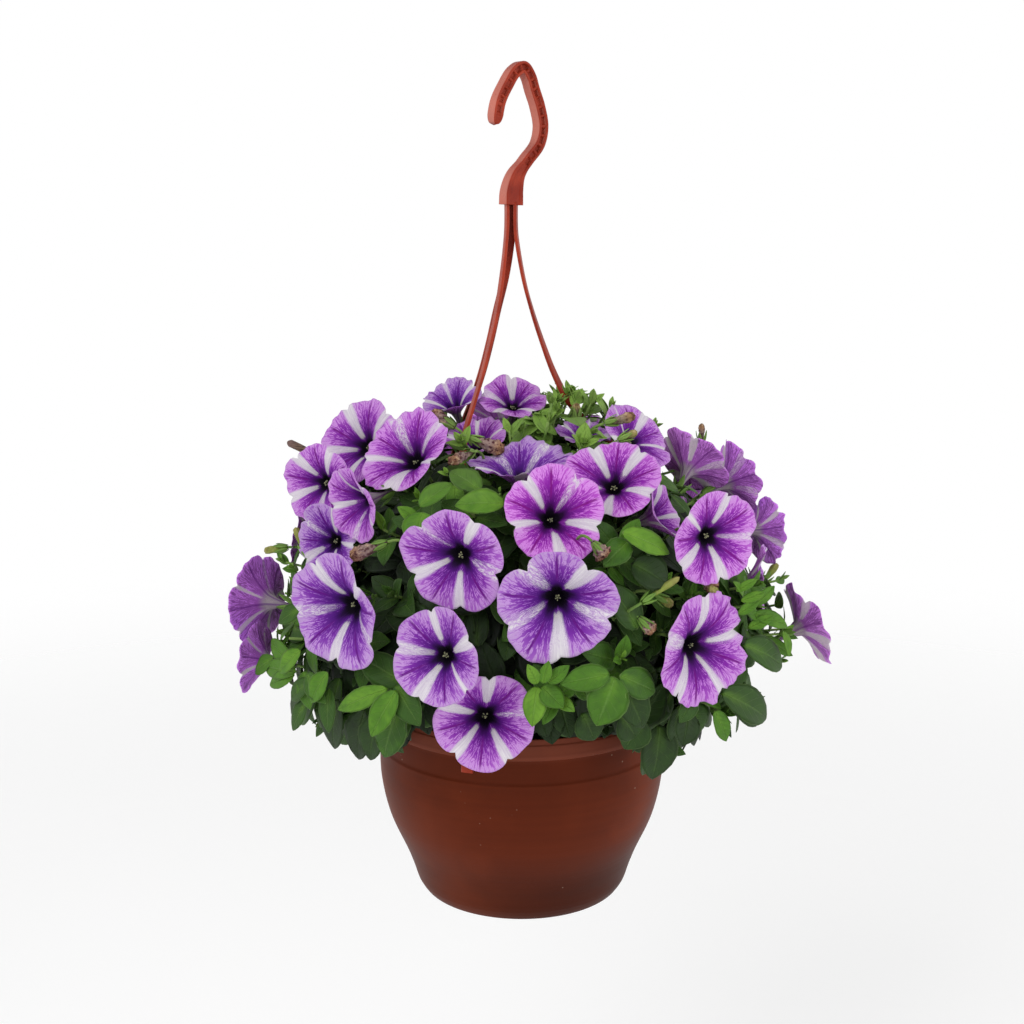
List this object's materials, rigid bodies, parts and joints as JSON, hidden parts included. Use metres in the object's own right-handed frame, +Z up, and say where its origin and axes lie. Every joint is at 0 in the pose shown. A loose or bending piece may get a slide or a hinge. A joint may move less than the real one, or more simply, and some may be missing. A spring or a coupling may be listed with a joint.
{
  "type": "petunia hanging basket",
  "caption": "Spreading petunia with purple and white striped trumpet flowers, filling a round plastic pot that hangs from a hook by flat straps.",
  "frame": {"origin": "underside of the hook's arch, where a bracket or rail carries the basket", "axes": "+Z up along the pot's axis, which passes through the origin; -Y is the front of the basket and +X its right"},
  "size_m": [0.429, 0.385, 0.5944],
  "materials": {
    "pot_plastic": "satin",
    "hanger_plastic": "satin",
    "soil": "matte",
    "petals": "matte",
    "foliage": "satin",
    "dead_wood": "matte"
  },
  "bodies": {
    "root": {"pot": "pot_plastic", "potting_soil": "soil", "hanger_hook": "hanger_plastic", "hanger_strap_front": "hanger_plastic", "hanger_strap_right": "hanger_plastic", "hanger_strap_rear": "hanger_plastic", "flower_01": "petals", "flower_02": "petals", "flower_03": "petals", "flower_04": "petals", "flower_05": "petals", "flower_06": "petals", "flower_07": "petals", "flower_08": "petals", "flower_09": "petals", "flower_10": "petals", "flower_11": "petals", "flower_12": "petals", "flower_13": "petals", "flower_14": "petals", "flower_15": "petals", "flower_16": "petals", "flower_17": "petals", "flower_18": "petals", "flower_19": "petals", "flower_20": "petals", "flower_21": "petals", "flower_22": "petals", "flower_23": "petals", "flower_24": "petals", "flower_25": "petals", "flower_26": "petals", "flower_27": "petals", "flower_28": "petals", "flower_29": "petals", "flower_30": "petals", "flower_31": "petals", "flower_32": "petals", "flower_33": "petals", "flower_34": "petals", "flower_35": "petals", "flower_36": "petals", "flower_37": "petals", "dead_shoot": "dead_wood", "stem_01": "foliage", "stem_02": "foliage", "stem_03": "foliage", "stem_04": "foliage", "stem_05": "foliage", "stem_06": "foliage", "stem_07": "foliage", "stem_08": "foliage", "stem_09": "foliage", "stem_10": "foliage", "stem_11": "foliage", "stem_12": "foliage", "stem_13": "foliage", "stem_14": "foliage", "stem_15": "foliage", "stem_16": "foliage"}
  },
  "joints": []
}
